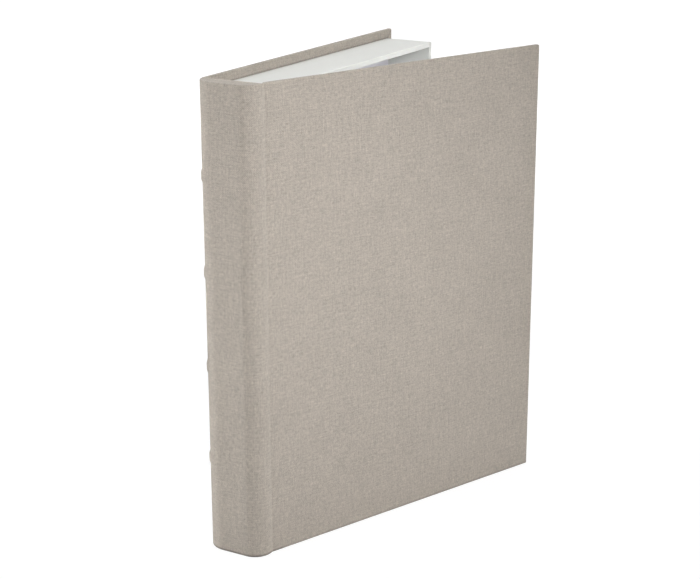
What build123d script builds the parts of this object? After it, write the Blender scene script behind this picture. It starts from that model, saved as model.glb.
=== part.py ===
"""Book box: a white lined tray inside a case that looks like a cloth-bound book.

The box stands on its tail with its front cover a little open. X runs from the spine
to the fore edge, Y from the front cover to the back cover and Z from tail to head.
The origin is on the surface that the box stands on, under the middle of its bounding
box as it stands, open cover included.
"""

import os
from math import acos, cos, degrees, radians, sin

from build123d import *

# Driving dimensions, in millimetres and degrees

# The case
cover_height = 320.0
box_width = 258.0  # spine, beside the bands, to the back cover's fore edge
front_cover_inset = 2.5  # the closed front cover stops this far inside the back cover
open_angle = 21.0  # how far the front cover stands open
rim_gap = 1.7  # the tray's rim to the closed front cover's lining
board_thickness = 2.2
board_corner_radius = 0.7  # cover boards, seen from the front
board_edge_radius = 0.2  # softening of a board's edge, seen through its wrapping

# The cloth and what lies behind it
cloth_thickness = 0.5
turn_in = 15.0  # cloth folded to the inner side of a board
inner_strip_width = 12.0  # hinge strip on the front cover's inner face
lining_thickness = 0.2
lining_margin = 4.0  # cloth left bare around the lining paper

# The spine and the joints beside it
spine_thickness = 12.7
spine_front_flat = 0.2  # left flat on the spine block beside its front corner
spine_proud = 0.7  # the spine stands this far in front of the closed front cover
joint_gap = 2.3  # spine's inner face to the edge of a cover board
open_clearance = 0.3  # between the spine and the front cover folded right back

# The raised bands
band_count = 4
tail_panel = 64.2  # tail to the middle of the lowest band
head_panel = 62.0  # middle of the highest band to head
band_height = 7.0
band_thickness = 0.8
band_end_angle = 25.0  # of each rounded corner that a band leaves bare, next to the joint

# The tray
square = 6.6  # covers standing past the tray at head and tail
fore_edge_square = 6.1
tray_depth = 37.0
tray_wall_thickness = 3.2
tray_floor_thickness = 2.2
paper_thickness = 0.25

# Places that follow from them

half_height = cover_height / 2
cover_thickness = board_thickness + 2 * cloth_thickness
closed_thickness = tray_depth + 2 * cover_thickness + lining_thickness + rim_gap
edge_radius = board_edge_radius + cloth_thickness
x_fore_edge = (box_width + band_thickness) / 2
x_spine = x_fore_edge - box_width
x_inner = x_spine + spine_thickness  # the spine's inner face, and the hinge line
front_cover_length = x_fore_edge - front_cover_inset - x_inner
back_cover_length = x_fore_edge - x_inner

# The hinge line lies just outside the closed cover, so that the cover clears the
# spine by open_clearance when it is folded right back.
hinge_out = (spine_proud + open_clearance) / 2

# The rounded fore edge of the open front cover is the foremost point of the box.
open_depth = (
    closed_thickness
    + hinge_out
    + (front_cover_length - edge_radius) * sin(radians(open_angle))
    - (hinge_out + edge_radius) * cos(radians(open_angle))
    + edge_radius
)
y_back = open_depth / 2
y_front_closed = y_back - closed_thickness
y_hinge = y_front_closed - hinge_out
y_spine_front = y_front_closed - spine_proud

# Each cover is drawn in plan on a plane of its own at mid-height: u runs from the
# spine to the fore edge, v from the cover's outer face inwards.
along = Vector(cos(radians(open_angle)), -sin(radians(open_angle)), 0)
inwards = Vector(sin(radians(open_angle)), cos(radians(open_angle)), 0)
hinge_point = Vector(x_inner, y_hinge, half_height)
front_plane = Plane(origin=hinge_point + inwards * hinge_out, x_dir=along, z_dir=(0, 0, 1))
back_plane = Plane(origin=(x_inner, y_back, half_height), x_dir=(1, 0, 0), z_dir=(0, 0, -1))
plan_plane = Plane(origin=(0, 0, half_height))

# The tray is drawn looking at its floor, on planes that face the front cover.
tray_x = (x_inner, x_fore_edge - fore_edge_square)
tray_half_height = half_height - square
y_tray_back = y_back - cover_thickness
y_tray_floor = y_tray_back - tray_floor_thickness
y_tray_rim = y_tray_back - tray_depth
wall_inset = paper_thickness + tray_wall_thickness
cavity_inset = wall_inset + paper_thickness

os.makedirs("parts", exist_ok=True)
pieces = []


def save(builder, name):
    """Labels a finished piece and writes it as a file of its own."""
    builder.part.label = name
    export_step(builder.part, f"parts/{name}.step")
    pieces.append(builder.part)


def rectangle_between(low, high, mode=Mode.ADD):
    """Draws a rectangle between two corners in the current sketch."""
    with Locations(low):
        Rectangle(
            high[0] - low[0],
            high[1] - low[1],
            align=(Align.MIN, Align.MIN),
            mode=mode,
        )


# Covers


def is_across(plane, edge):
    """Whether an edge runs through a cover's thickness."""
    return abs((edge % 0.5).dot(plane.y_dir)) > 0.99


def is_past(plane, u, edge):
    """Whether an edge's middle lies further from the spine than u."""
    return plane.to_local_coords(edge.center()).X > u


def cover_board(plane, length):
    """A cover's stiff board, inside the cloth on three edges."""
    with BuildPart() as board:
        with BuildSketch(plane):
            rectangle_between(
                (joint_gap, cloth_thickness),
                (length - cloth_thickness, cloth_thickness + board_thickness),
            )
        extrude(amount=half_height - cloth_thickness, both=True)
        corners = board.edges().filter_by(lambda e: is_across(plane, e))
        fillet(corners.filter_by(lambda e: is_past(plane, length / 2, e)), board_corner_radius)
    return board


def filler_card(plane, start, length):
    """Card that fills the field between the turned-in cloth."""
    with BuildPart() as card:
        with BuildSketch(plane):
            rectangle_between(
                (start, cloth_thickness + board_thickness),
                (length - turn_in, cover_thickness),
            )
        extrude(amount=half_height - turn_in, both=True)
    return card


def cover_cloth(plane, length, board):
    """Cloth over a board's outer face and three edges, turned in behind it."""
    with BuildPart() as cloth:
        with BuildSketch(plane):
            rectangle_between((joint_gap, 0), (length, cover_thickness))
        extrude(amount=half_height, both=True)
        corners = cloth.edges().filter_by(lambda e: is_across(plane, e))
        fillet(
            corners.filter_by(lambda e: is_past(plane, length / 2, e)),
            board_corner_radius + cloth_thickness,
        )
        # The folded cloth rounds every edge but those at the spine side.
        folds = cloth.edges().filter_by(lambda e: not is_across(plane, e))
        fillet(folds.filter_by(lambda e: is_past(plane, joint_gap + edge_radius, e)), edge_radius)
        add(board.part, mode=Mode.SUBTRACT)
        add(filler_card(plane, joint_gap, length).part, mode=Mode.SUBTRACT)
    return cloth


front_board = cover_board(front_plane, front_cover_length)
save(front_board, "front_board")
save(cover_cloth(front_plane, front_cover_length, front_board), "front_cloth")
save(
    filler_card(front_plane, joint_gap + inner_strip_width, front_cover_length),
    "front_filler_card",
)

back_board = cover_board(back_plane, back_cover_length)
save(back_board, "back_board")
with BuildPart() as back_cloth:
    add(cover_cloth(back_plane, back_cover_length, back_board).part)
    # The back joint doesn't move, so its cloth is one with the back cover's.
    with BuildSketch(back_plane):
        rectangle_between((0, 0), (joint_gap, cloth_thickness))
    extrude(amount=half_height - cloth_thickness, both=True)
save(back_cloth, "back_cloth")
save(filler_card(back_plane, joint_gap, back_cover_length), "back_filler_card")

with BuildPart() as front_lining_paper:
    with BuildSketch(front_plane):
        rectangle_between(
            (joint_gap + lining_margin, cover_thickness),
            (front_cover_length - lining_margin, cover_thickness + lining_thickness),
        )
    extrude(amount=half_height - lining_margin, both=True)
save(front_lining_paper, "front_lining_paper")

# Spine


def spine_arcs(proud, back_sweep, front_sweep):
    """Draws the spine's curve in plan, proud of the core, and gives its two arcs.

    Each arc starts where the spine's flat face meets a rounded corner.
    """
    back_arc = CenterArc(back_centre, back_radius + proud, 180, -back_sweep)
    front_arc = CenterArc(front_centre, front_radius + proud, 180, front_sweep)
    Line(back_arc @ 0, front_arc @ 0)
    return back_arc, front_arc


def spine_outline(proud, x_cut):
    """The whole spine in plan, proud of its core and cut off flat at x_cut."""
    back_sweep = 180 - degrees(acos((x_cut - back_centre[0]) / (back_radius + proud)))
    with BuildSketch(plan_plane) as outline:
        with BuildLine():
            back_arc, front_arc = spine_arcs(proud, back_sweep, 90)
            Polyline(front_arc @ 1, (x_cut, (front_arc @ 1).Y), back_arc @ 1)
        make_face()
    return outline.sketch


def band_outline(proud, end_angle):
    """A band in plan: it lies on the core and stops short of the curve's ends."""
    sweep = 90 - end_angle
    with BuildSketch(plan_plane) as outline:
        with BuildLine():
            outer_back, outer_front = spine_arcs(proud, sweep, sweep)
            inner_back, inner_front = spine_arcs(0, sweep, sweep)
            Line(outer_back @ 1, inner_back @ 1)
            Line(outer_front @ 1, inner_front @ 1)
        make_face()
    return outline.sketch


# The core's back corner is rounded as far as the back board's edge, past the core's
# inner face, and its front corner up to the flat. The cloth adds its thickness.
x_core_inner = x_inner - cloth_thickness
back_centre = (x_inner + joint_gap, y_back - spine_thickness - joint_gap)
back_radius = spine_thickness + joint_gap - cloth_thickness
front_radius = x_core_inner - spine_front_flat - x_spine - cloth_thickness
front_centre = (
    x_core_inner - spine_front_flat,
    y_spine_front + cloth_thickness + front_radius,
)
core_outline = spine_outline(0, x_core_inner)
backed_outline = spine_outline(0, x_inner)
cloth_outline = spine_outline(cloth_thickness, x_inner)

# The cloth goes over each band and closes round its ends.
cloth_lap = degrees(cloth_thickness / front_radius)
band_cloth_proud = band_thickness + cloth_thickness
bare_band_outline = band_outline(band_thickness, band_end_angle)
band_cloth_outline = band_outline(band_cloth_proud, band_end_angle - cloth_lap)
band_pitch = (cover_height - tail_panel - head_panel) / (band_count - 1)
band_offsets = [tail_panel + band_pitch * k - half_height for k in range(band_count)]

with BuildPart() as spine_core:
    add(core_outline)
    extrude(amount=half_height - cloth_thickness, both=True)
save(spine_core, "spine_core")

with BuildPart() as spine_filler_card:
    with BuildSketch(plan_plane):
        add(backed_outline)
        add(core_outline, mode=Mode.SUBTRACT)
    extrude(amount=half_height - turn_in, both=True)
save(spine_filler_card, "spine_filler_card")

for number, offset in enumerate(band_offsets, start=1):
    with BuildPart() as raised_band:
        with BuildSketch(plan_plane.offset(offset)):
            add(bare_band_outline)
        extrude(amount=band_height / 2, both=True)
    save(raised_band, f"raised_band_{number}")

with BuildPart() as spine_cloth:
    with BuildSketch(plan_plane):
        add(cloth_outline)
    extrude(amount=half_height, both=True)
    for offset in band_offsets:
        with BuildSketch(plan_plane.offset(offset)):
            add(band_cloth_outline)
        extrude(amount=band_height / 2 + cloth_thickness, both=True)
    for offset in band_offsets:
        with BuildSketch(plan_plane.offset(offset)):
            add(bare_band_outline)
        extrude(amount=band_height / 2, both=True, mode=Mode.SUBTRACT)
    with BuildSketch(plan_plane):
        add(core_outline)
    extrude(amount=half_height - cloth_thickness, both=True, mode=Mode.SUBTRACT)
    with BuildSketch(plan_plane):
        add(backed_outline)
    extrude(amount=half_height - turn_in, both=True, mode=Mode.SUBTRACT)
save(spine_cloth, "spine_cloth")

# Hinge cloth


def at_hinge(x, y):
    """A point of the plan, from its place relative to the hinge line."""
    return (x_inner + x, y_hinge + y)


def on_cover(u, v):
    """A point of the plan, from its place on the open front cover."""
    point = front_plane.origin + along * u + inwards * v
    return (point.X, point.Y)


spine_lip = y_spine_front - y_hinge
with BuildPart() as joint_cloth:
    with BuildSketch(plan_plane):
        with BuildLine():
            Polyline(
                at_hinge(0, spine_lip),
                on_cover(joint_gap, 0),
                on_cover(joint_gap, cloth_thickness),
                at_hinge(0, spine_lip + cloth_thickness),
                close=True,
            )
        make_face()
    extrude(amount=half_height - cloth_thickness, both=True)
save(joint_cloth, "joint_cloth")

# The strip lines the hinge from the tray's rim to the front cover's inner face.
with BuildPart() as inner_joint_strip:
    with BuildSketch(plan_plane):
        with BuildLine():
            Polyline(
                at_hinge(0, spine_lip + cloth_thickness),
                on_cover(joint_gap, cloth_thickness),
                on_cover(joint_gap, cover_thickness - cloth_thickness),
                on_cover(joint_gap + inner_strip_width, cover_thickness - cloth_thickness),
                on_cover(joint_gap + inner_strip_width, cover_thickness),
                on_cover(joint_gap - cloth_thickness, cover_thickness),
                on_cover(joint_gap - cloth_thickness, 2 * cloth_thickness),
                at_hinge(cloth_thickness, spine_lip + 2 * cloth_thickness),
                at_hinge(cloth_thickness, y_tray_rim - y_hinge),
                at_hinge(0, y_tray_rim - y_hinge),
                close=True,
            )
        make_face()
    extrude(amount=half_height - turn_in, both=True)
save(inner_joint_strip, "inner_joint_strip")

# Tray


def tray_plane(y):
    """A plane at this Y that faces the front cover, with its X along the box's X."""
    return Plane(origin=(0, y, half_height), x_dir=(1, 0, 0), z_dir=(0, -1, 0))


def tray_rectangle(inset, mode=Mode.ADD):
    """Draws the tray's outline, drawn in by inset, in the current sketch."""
    rectangle_between(
        (tray_x[0] + inset, inset - tray_half_height),
        (tray_x[1] - inset, tray_half_height - inset),
        mode,
    )


with BuildPart() as tray_floor:
    with BuildSketch(tray_plane(y_tray_back)):
        tray_rectangle(paper_thickness)
    extrude(amount=tray_floor_thickness)
save(tray_floor, "tray_floor")

wall_depth = tray_depth - tray_floor_thickness - paper_thickness
head_z = tray_half_height - wall_inset
for name, low_z in (
    ("tray_head_wall", head_z),
    ("tray_tail_wall", -head_z - tray_wall_thickness),
):
    with BuildPart() as wall:
        with BuildSketch(tray_plane(y_tray_floor)):
            rectangle_between(
                (tray_x[0] + paper_thickness, low_z),
                (tray_x[1] - paper_thickness, low_z + tray_wall_thickness),
            )
        extrude(amount=wall_depth)
    save(wall, name)

for name, low_x in (
    ("tray_spine_wall", tray_x[0] + paper_thickness),
    ("tray_fore_edge_wall", tray_x[1] - wall_inset),
):
    with BuildPart() as wall:
        with BuildSketch(tray_plane(y_tray_floor)):
            rectangle_between((low_x, -head_z), (low_x + tray_wall_thickness, head_z))
        extrude(amount=wall_depth)
    save(wall, name)

with BuildPart() as tray_wall_paper:
    with BuildSketch(tray_plane(y_tray_back)):
        tray_rectangle(0)
    extrude(amount=tray_depth)
    fillet(tray_wall_paper.edges().filter_by(Axis.Y), board_edge_radius + paper_thickness)
    rim_edges = tray_wall_paper.faces().sort_by(Axis.Y)[0].edges()
    fillet(rim_edges, board_edge_radius + paper_thickness)
    with BuildSketch(tray_plane(y_tray_back)):
        tray_rectangle(cavity_inset)
    extrude(amount=tray_depth, mode=Mode.SUBTRACT)
    with BuildSketch(tray_plane(y_tray_back)):
        tray_rectangle(paper_thickness)
    extrude(amount=tray_floor_thickness, mode=Mode.SUBTRACT)
    with BuildSketch(tray_plane(y_tray_floor)):
        tray_rectangle(paper_thickness)
        tray_rectangle(wall_inset, mode=Mode.SUBTRACT)
    extrude(amount=wall_depth, mode=Mode.SUBTRACT)
save(tray_wall_paper, "tray_wall_paper")

with BuildPart() as tray_floor_paper:
    with BuildSketch(tray_plane(y_tray_floor)):
        tray_rectangle(cavity_inset)
    extrude(amount=paper_thickness)
save(tray_floor_paper, "tray_floor_paper")

box = Compound(children=pieces).bounding_box()
print(f"size {box.size.X:.2f} x {box.size.Y:.2f} x {box.size.Z:.2f}")
print(f"centre {box.center().X:.3f} {box.center().Y:.3f}, base {box.min.Z:.3f}")
print(f"hinge at {x_inner:.3f}, {y_hinge:.3f}; back face at y {y_back:.3f}")
print(f"cavity x {tray_x[0] + cavity_inset:.2f} to {tray_x[1] - cavity_inset:.2f}")
print(f"cavity y {y_tray_rim:.2f} to {y_tray_floor - paper_thickness:.2f}")
print(f"cavity z {square + cavity_inset:.2f} to {cover_height - square - cavity_inset:.2f}")
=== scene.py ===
"""Dresses the book box: cloth, papers, boards, stage, light and camera.

The shapes are worked out in millimetres in the CAD model's own frame: X runs from the
spine to the fore edge, Y from the front cover to the back cover and Z from tail to head.
"""

from math import cos, pi, radians, sin

import bmesh
import bpy
import numpy as np
from mathutils import Matrix, Vector


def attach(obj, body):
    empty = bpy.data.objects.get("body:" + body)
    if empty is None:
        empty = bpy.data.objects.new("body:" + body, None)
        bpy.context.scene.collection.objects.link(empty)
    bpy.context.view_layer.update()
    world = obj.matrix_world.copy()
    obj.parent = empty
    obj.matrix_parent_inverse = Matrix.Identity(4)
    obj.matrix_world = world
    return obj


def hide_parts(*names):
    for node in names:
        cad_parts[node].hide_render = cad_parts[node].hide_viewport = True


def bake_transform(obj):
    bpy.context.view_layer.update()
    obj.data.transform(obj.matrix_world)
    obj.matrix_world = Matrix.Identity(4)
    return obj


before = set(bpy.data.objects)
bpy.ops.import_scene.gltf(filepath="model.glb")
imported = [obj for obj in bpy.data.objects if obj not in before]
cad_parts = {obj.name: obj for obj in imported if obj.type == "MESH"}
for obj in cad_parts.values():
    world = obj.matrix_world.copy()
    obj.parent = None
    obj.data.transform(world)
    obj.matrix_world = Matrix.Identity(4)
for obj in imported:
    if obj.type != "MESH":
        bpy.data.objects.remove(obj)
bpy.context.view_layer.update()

bl_info = {
    "name": "Book Box",
    "version": (1, 0, 0),
    "blender": (4, 5, 0),
    "location": "View3D > Sidebar > Book Box",
    "description": "Cloth, papers and boards of a book-shaped box around its CAD frame",
    "category": "Object",
}

MM = 0.001
WELD = 0.015 * MM  # corners closer than this become one

# Sizes of the CAD model, in millimetres and degrees
COVER_HEIGHT = 320.0
COVER_THICKNESS = 3.2
OPEN_ANGLE = 21.0
SPINE_THICKNESS = 12.7
SPINE_FRONT_FLAT = 0.7
FRONT_COVER_LENGTH = 242.8
BACK_COVER_LENGTH = 245.3
JOINT_GAP = 2.3
TURN_IN = 15.0
CLOTH_THICKNESS = 0.5
INNER_STRIP_WIDTH = 12.0
X_SPINE = -128.6
X_INNER = -115.9
Y_BACK = 66.07
Y_HINGE = 20.27
Y_SPINE_FRONT = 20.07
HINGE_OUT = 0.5
BACK_CORNER_RADIUS = 15.0
FRONT_CORNER_RADIUS = 12.0
BAND_HEIGHT = 7.0
BAND_CENTRES = (64.2, 128.8, 193.4, 258.0)
BAND_END_ANGLE = 25.0
TRAY_X = (-115.9, 123.3)
TRAY_Z = (6.6, 313.4)
Y_TRAY_RIM = 25.87
Y_TRAY_BACK = 62.87
Y_FLOOR_TOP = 60.67
TRAY_WALL = 3.7

HALF_HEIGHT = COVER_HEIGHT / 2
ALONG = np.array((cos(radians(OPEN_ANGLE)), -sin(radians(OPEN_ANGLE))))
INWARDS = np.array((sin(radians(OPEN_ANGLE)), cos(radians(OPEN_ANGLE))))
HINGE = np.array((X_INNER, Y_HINGE))

# How the cloth sits, in millimetres
EDGE_RADIUS = 0.7  # folded cloth over a board's edge
CORNER_RADIUS = 1.2  # cover corners, seen from the front
THREAD_PLY = 0.35  # thickness given to the cloth, inside the 0.5 mm that the CAD leaves
FOLD_START = 3.0  # a fold's rows start this far in on the outer face
CREASE_DEPTH = 0.22  # how far the line is sunk where two folds meet behind a corner
CREASE_WIDTH = 0.45
CREASE_START = (1.2, 2.2)  # in from the edge, where that line begins and is full
COVER_LAP = 8.0  # hinge cloth that goes on over the front board
JOINT_START_BACK = 0.2  # the hinge cloth starts this far before the spine's inner face
VALLEY_END = 3.4  # from the hinge to where the cloth lies flat on the front cover
VALLEY_REACH = 1.3  # how far the cloth keeps its way at either end of the valley
VALLEY_DIP = 0.22  # how far it is pressed in between
JOINT_FOLD = 2 * CLOTH_THICKNESS  # thickness of the doubled cloth in the joint
JOINT_WIDENS = (1.7, 2.5)  # from the hinge, where it grows as thick as the cover
HINGE_BLEND = (0.1, 2.1)  # past the spine, the stretch where the hinge cloth turns as the cover opens; hinge_cloth reads it but doesn't use it
STRIP_BENDS = (0.8, 0.35, 0.5)  # sizes of the inner strip's bends
STRIP_OVER_JOINT = (0.02, 0.1)  # from it to the doubled cloth, at the spine and the cover
RIM_GAP = 0.05  # from it to the tray's rim
STRIP_GAP = 0.06  # from it to the cloth turned in on the front cover

# How the cloth swells over the bands and is pleated over the spine's ends
FACE_LIFT = 0.62  # share of a band's lift left on the spine's flat face
LOOSE_FROM = 0.55  # share of the back corner's turn from which the cloth lies looser
TIGHT_SLOPE = (1.7, 1.7)  # from a band's edge, how far in the cloth slopes, and how far out
LOOSE_SLOPE = (0.5, 5.5)  # the same on the spine's flat face
BAND_FADE = 2.4  # the lift runs out over this length past a band's end
PLEAT_DEPTH = 0.08
PLEAT_WIDTH = 0.5

# How the tray's paper sits, in millimetres
RIM_BEND = 0.5  # radius of the bends over the rim's two edges
RIM_HOLLOW = 0.16  # how far the rim sinks between them
RIM_REACH = 1.63  # half the rim's width, less what the rounded bend saves
TRAY_CORNERS = (0.55, 0.3)  # radius of the tray's corners, outside and inside
FLOOR_GAP = 0.25  # from the walls' paper to the tray's floor

# Where grid lines stand: in from a cover's corner, and off a band's middle
TOWARDS_EDGE = np.array([12, 9, 7, 5.5, 4.2, 3.2, 2.4, 1.7, 1.1, 0.6, 0.25, 0])
BAND_ROWS = np.array([0.9, 1.8, 2.4, 3.0, 3.5, 4.0, 4.6, 5.2, 6.0, 7.0, 8.0, 9.0])
ABOUT_COVER_LENGTH = 260.0
END_STEP = 0.05  # the last column but one stands this far from a piece's end


# Mesh helpers


def grid_faces(shape):
    """Corner numbers of each quad of a grid of rows and columns."""
    number = np.arange(shape[0] * shape[1]).reshape(shape[:2])
    return np.stack(
        [number[:-1, :-1], number[:-1, 1:], number[1:, 1:], number[1:, :-1]], -1
    ).reshape(-1, 4)


def faces_outwards(points, faces, centre):
    """Turns a grid's quads round if, summed up, they face the centre."""
    a, b, c, d = (points[faces[:, k]] for k in range(4))
    areas = np.cross(c - a, d - b)
    if np.einsum("ij,ij->", areas, (a + c) / 2 - centre) < 0:
        return faces[:, ::-1]
    return faces


def make_piece(name, grids, centre, material, wall=0.0):
    """Makes one mesh object of grids of points and flat places, in millimetres.

    Each grid's quads face away from the centre, and grids that share a border are
    welded along it. A wall is the thickness given to the surface, inwards.
    """
    points, flat, faces = [], [], []
    first = 0
    for place, cut in grids:
        rows = place.reshape(-1, 3)
        quads = faces_outwards(rows, grid_faces(place.shape), np.asarray(centre))
        faces.append(quads + first)
        points.append(rows)
        flat.append(cut.reshape(-1, 2))
        first += len(rows)
    points, flat = np.concatenate(points) * MM, np.concatenate(flat) * MM
    faces = np.concatenate(faces)
    mesh = bpy.data.meshes.new(name)
    mesh.from_pydata(points, [], faces)
    layer = mesh.uv_layers.new(name="weave")
    layer.data.foreach_set("uv", flat[faces.ravel()].ravel())
    welded = bmesh.new()
    welded.from_mesh(mesh)
    bmesh.ops.remove_doubles(welded, verts=welded.verts, dist=WELD)
    bmesh.ops.dissolve_degenerate(welded, edges=welded.edges, dist=WELD)
    welded.to_mesh(mesh)
    welded.free()
    mesh.polygons.foreach_set("use_smooth", np.ones(len(mesh.polygons), bool))
    piece = bpy.data.objects.new(name, mesh)
    bpy.context.scene.collection.objects.link(piece)
    mesh.materials.append(material)
    if wall:
        solid = piece.modifiers.new("ply", "SOLIDIFY")
        solid.thickness, solid.offset = wall * MM, -1
    return piece


def smooth(x, low, high):
    """0 up to low, 1 from high, and an even S-curve between them."""
    t = np.clip((x - low) / (high - low), 0, 1)
    return t * t * (3 - 2 * t)


def close_to_ends(count):
    """Places from 0 to 1, closer together towards both ends: even ones less a sine wave."""
    ease = 0.35
    t = np.linspace(0, 1, count)
    return t - ease * np.sin(2 * pi * t) / pi


def quarter(count):
    """1 less the sine, and 1 less the cosine, of angles from 0 to 90 degrees."""
    turn = np.radians(np.linspace(0, 90, count))
    return 1 - np.sin(turn), 1 - np.cos(turn)


def length_run(line):
    """How far along a line each of its points is."""
    return np.concatenate([[0], np.linalg.norm(np.diff(line, axis=0), axis=1).cumsum()])


def without_doubles(line):
    """A line without the points that stand where the last one does."""
    steps = np.linalg.norm(np.diff(line, axis=0), axis=1)
    return line[np.concatenate([[True], steps > 1e-6])]


def with_height(plan, z):
    """Plan points with heights: every point at every height, where z is a column."""
    shape = np.broadcast_shapes(plan.shape[:-1], np.shape(z))
    plan = np.broadcast_to(plan, (*shape, 2))
    return np.concatenate([plan, np.broadcast_to(z, shape)[..., None]], -1)


def flat_grid(columns, rows):
    """Flat places of a grid's points: its columns' places by its rows' places."""
    return np.stack(np.broadcast_arrays(columns[None, :], rows[:, None]), -1)


# The case in plan: one curve from the back cover's fore edge round to the front cover's


def on_front(u, v):
    """Plan points on the open front cover, u from the hinge and v inwards."""
    u, v = np.broadcast_arrays(np.asarray(u, float), np.asarray(v, float))
    return HINGE + (HINGE_OUT + v)[..., None] * INWARDS + u[..., None] * ALONG


def arc(centre, radius, start, end):
    """Plan points of an arc, half a degree apart, angles in degrees from +X."""
    turn = np.radians(np.linspace(start, end, int(abs(end - start) * 2) + 1))
    return np.asarray(centre) + radius * np.stack([np.cos(turn), np.sin(turn)], -1)


def valley(start, end):
    """The cloth over the joint: a cubic that leaves the spine along X and joins the cover.

    It is pressed inwards by a bump that is nothing at its two ends and full midway.
    """
    t = np.linspace(0, 1, 61)[:, None]
    a = start + VALLEY_REACH * np.array((1.0, 0.0))
    b = end - VALLEY_REACH * ALONG
    line = (1 - t) ** 3 * start + 3 * t * (1 - t) ** 2 * a
    line = line + 3 * t * t * (1 - t) * b + t**3 * end
    return line + VALLEY_DIP * (16 * t**2 * (1 - t) ** 2) * INWARDS


def case_line():
    """The cloth's outer line in plan: covers straight, corners round, joint a valley."""
    back_corner = (X_INNER + JOINT_GAP, Y_BACK - BACK_CORNER_RADIUS)
    front_corner = (X_INNER - SPINE_FRONT_FLAT, Y_SPINE_FRONT + FRONT_CORNER_RADIUS)
    parts = [
        [(X_INNER + BACK_COVER_LENGTH, Y_BACK)],
        arc(back_corner, BACK_CORNER_RADIUS, 90, 180),
        arc(front_corner, FRONT_CORNER_RADIUS, 180, 270),
        valley(np.array((X_INNER, Y_SPINE_FRONT)), on_front(VALLEY_END, 0)),
        on_front((JOINT_GAP + COVER_LAP, FRONT_COVER_LENGTH), 0),
    ]
    return without_doubles(np.concatenate(parts))


CASE_LINE = case_line()
CASE_LENGTH = length_run(CASE_LINE)


def along_case(s):
    """Plan points and unit outward normals at the places s along the cloth.

    A normal is square to the way between the points just behind and just ahead.
    """

    def at(place):
        return np.stack([np.interp(place, CASE_LENGTH, CASE_LINE[:, k]) for k in (0, 1)], -1)

    step = 0.04
    way = at(s + step) - at(s - step)
    way = way / np.linalg.norm(way, axis=-1, keepdims=True)
    return at(s), np.stack([way[..., 1], -way[..., 0]], -1)


# Places along the cloth where its pieces meet
FLAT_BACK = BACK_COVER_LENGTH - JOINT_GAP
BACK_ARC = pi / 2 * BACK_CORNER_RADIUS
FRONT_ARC = pi / 2 * FRONT_CORNER_RADIUS
SPINE_FLAT = (Y_BACK - BACK_CORNER_RADIUS) - (Y_SPINE_FRONT + FRONT_CORNER_RADIUS)
S_SPINE_START = FLAT_BACK + np.arcsin(JOINT_GAP / BACK_CORNER_RADIUS) * BACK_CORNER_RADIUS
S_FLAT_START = FLAT_BACK + BACK_ARC
S_FLAT_END = S_FLAT_START + SPINE_FLAT
S_CORNER_END = S_FLAT_END + FRONT_ARC
S_JOINT_START = S_CORNER_END + SPINE_FRONT_FLAT - JOINT_START_BACK
S_COVER_LAP = CASE_LENGTH[-1] - (FRONT_COVER_LENGTH - JOINT_GAP - COVER_LAP)
S_MID_SPINE = (S_SPINE_START + S_COVER_LAP) / 2
HALF_SPINE_RUN = (S_COVER_LAP - S_SPINE_START) / 2
S_INNER_STRIP = 400.0  # the inner strip's cloth starts here, where no painted shade or highlight falls

# Pleats over the spine's rounded corners: place of the first, of the last, and how many
PLEATS = ((S_SPINE_START + 5, S_FLAT_START - 1.5, 5), (S_FLAT_END + 1.5, S_CORNER_END - 3, 4))

# Places where painted shade and painted highlights change the tone of the cloth and the
# paper, and by what share of it. A line is given by the distances from its middle where
# it is full and where it is gone.
COVERS_BEGIN = (HALF_SPINE_RUN - 0.1, HALF_SPINE_RUN)  # from the middle of the spine
INNER_FACE_RUN = 2.6  # cloth beyond a cover's edge, less the reach on its inner face
TRAY_FOOT_RUN = INNER_FACE_RUN + 6.3  # cloth beyond a cover's edge at the tray's foot
TURNED_IN = (2.6, 3.4)  # cloth beyond a cover's edge where the painted turned-in shade starts and is full
# painted shade on the cloth turned in on the covers, as a share of its tone
TURN_IN_PAINTED_SHADE = 0.1
# painted shade in a line along the crease where two folds meet behind a corner
CREASE_LINE, CREASE_PAINTED_SHADE = (0.3, 1.0), 0.26
# painted shade in a line along the tray's foot, where the tray meets the back cover
FOOT_LINE, FOOT_PAINTED_SHADE = (0.4, 0.9), 0.3
TAIL_EDGE = (1.0, 2.2)  # above the tail, where the painted shadow is full and where it is gone
TAIL_PAINTED_SHADOWS = (0.45, 0.24)  # painted shadow where the box stands, on the spine and on the covers
# painted highlight on the inner fold over each end of the spine
HEAD_FOLD_LINE, HEAD_FOLD_PAINTED_HIGHLIGHT = (1.6, 3.6), 0.2
RIM_RUN = Y_TRAY_BACK - Y_TRAY_RIM + RIM_REACH  # paper from the tray's foot to mid-rim
# painted highlight over the tray's whole rim
RIM_LINE, RIM_PAINTED_HIGHLIGHT = (1.7, 2.2), 0.1
BEND_PLACE = 1.75  # from mid-rim, where the painted highlights on the bends lie
# painted highlights along the rim's two bends
BEND_LINE, BEND_PAINTED_HIGHLIGHT = (0.1, 0.5), 0.05
INSIDE_FORE_WALL = 0.5  # the rim's painted highlight runs out over this length at the fore-edge wall


# Cloth pieces


def folded_edge(lead, radius, thickness, reach):
    """Distance in from the edge, and depth, of cloth folded round it, row by row.

    The cloth stands at the distances lead on the outer face, rounds two quarter circles
    of the radius and goes back on the inner face at the distances reach.
    """
    near, far = (share[:, None] for share in quarter(8))
    d = np.concatenate([lead, radius * near, radius * far, reach])
    v = np.concatenate(
        [0 * lead, radius * far, thickness - radius * near, 0 * reach + thickness]
    )
    return d, v


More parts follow.
